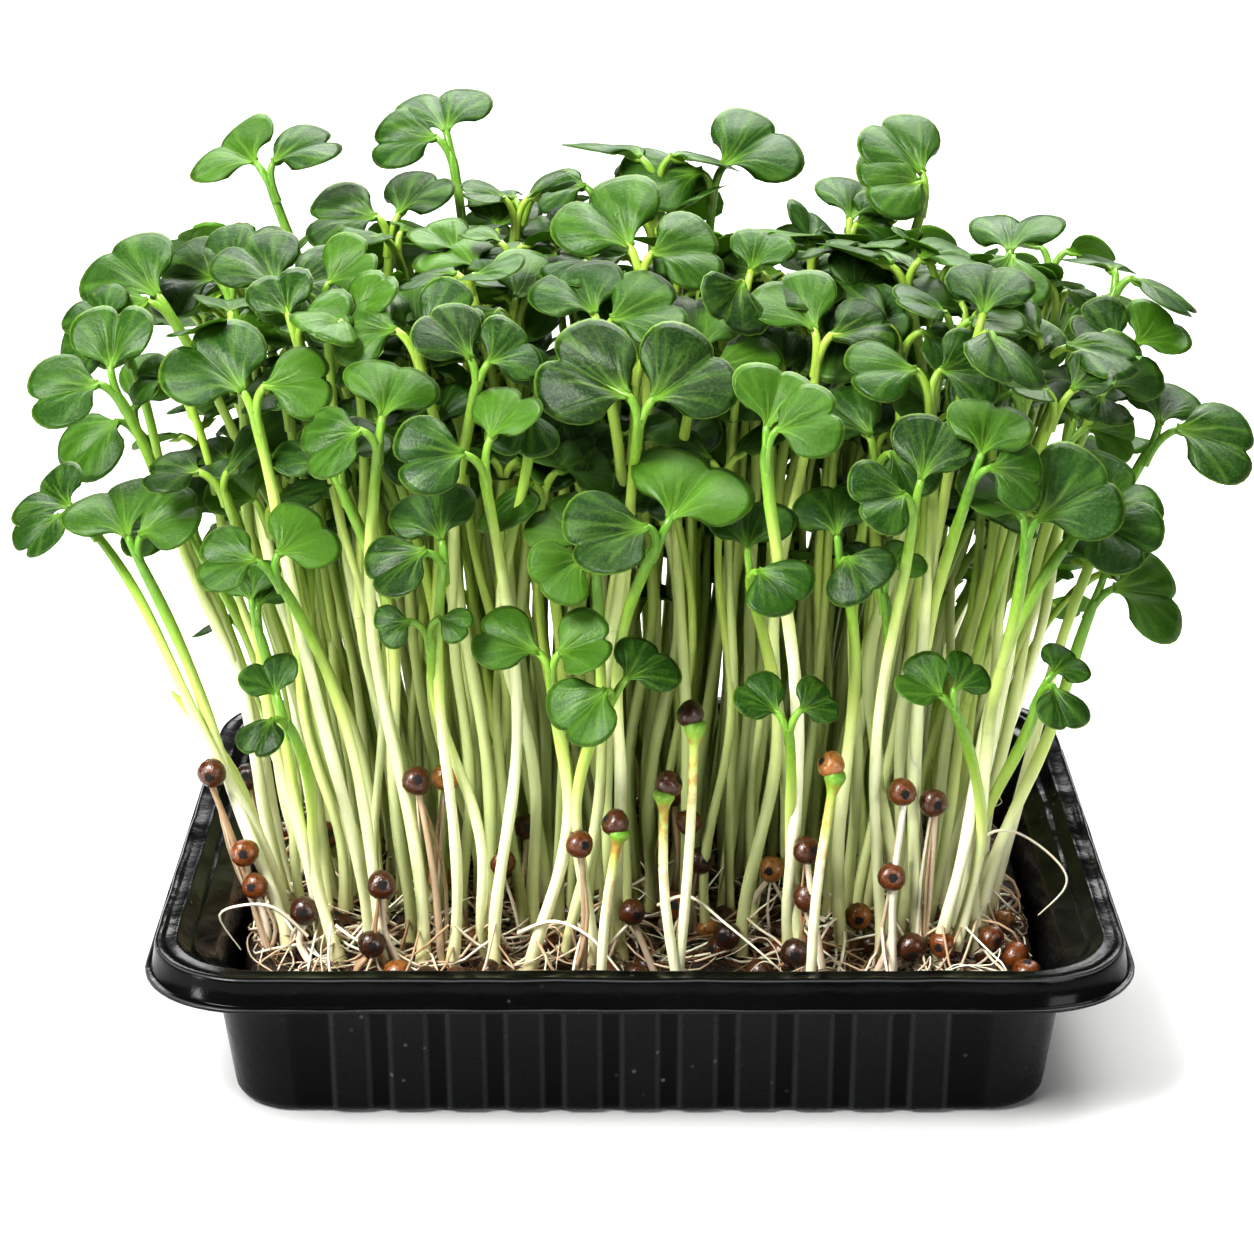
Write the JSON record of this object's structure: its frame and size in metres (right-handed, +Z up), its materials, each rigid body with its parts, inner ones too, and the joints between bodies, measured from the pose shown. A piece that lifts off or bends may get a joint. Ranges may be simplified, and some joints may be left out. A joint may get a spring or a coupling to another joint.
{
  "type": "radish microgreens tray",
  "caption": "Shallow black growing tray on a flat base, filled with a root-knitted mat from which notched-leaf seedlings stand and fan outward.",
  "frame": {"origin": "centre of the tray's flat underside", "axes": "+Z up, +X along the tray's long side, -Y towards the front"},
  "size_m": [0.202, 0.128, 0.1487],
  "materials": {
    "tray_plastic": "satin-gloss thermoformed black sheet",
    "mat_fibre": "damp matte fibre with glossy brown seed hulls",
    "root_and_stem": "moist translucent plant tissue, cream to pale yellow-green",
    "leaf": "satin waxy leaf, grey-green above and yellow-green against the light"
  },
  "bodies": {
    "root": {"tray": "tray_plastic", "growing_mat": "mat_fibre", "roots_and_stems": "root_and_stem", "leafy_tops_01": "leaf", "leafy_tops_02": "leaf", "leafy_tops_03": "leaf", "leafy_tops_04": "leaf", "leafy_tops_05": "leaf", "leafy_tops_06": "leaf", "leafy_tops_07": "leaf", "leafy_tops_08": "leaf", "leafy_tops_09": "leaf", "leafy_tops_10": "leaf", "leafy_tops_11": "leaf", "leafy_tops_12": "leaf", "leafy_tops_13": "leaf", "leafy_tops_14": "leaf", "leafy_tops_15": "leaf", "leafy_tops_16": "leaf", "leafy_tops_17": "leaf", "leafy_tops_18": "leaf", "leafy_tops_19": "leaf", "leafy_tops_20": "leaf", "leafy_tops_21": "leaf", "leafy_tops_22": "leaf", "leafy_tops_23": "leaf", "leafy_tops_24": "leaf", "leafy_tops_25": "leaf", "leafy_tops_26": "leaf", "leafy_tops_27": "leaf", "leafy_tops_28": "leaf", "leafy_tops_29": "leaf", "leafy_tops_30": "leaf", "leafy_tops_31": "leaf", "leafy_tops_32": "leaf", "leafy_tops_33": "leaf", "leafy_tops_34": "leaf", "leafy_tops_35": "leaf", "leafy_tops_36": "leaf", "leafy_tops_37": "leaf", "leafy_tops_38": "leaf", "leafy_tops_39": "leaf", "leafy_tops_40": "leaf", "leafy_tops_41": "leaf", "leafy_tops_42": "leaf", "leafy_tops_43": "leaf", "leafy_tops_44": "leaf", "leafy_tops_45": "leaf", "leafy_tops_46": "leaf", "leafy_tops_47": "leaf", "leafy_tops_48": "leaf"}
  },
  "joints": []
}
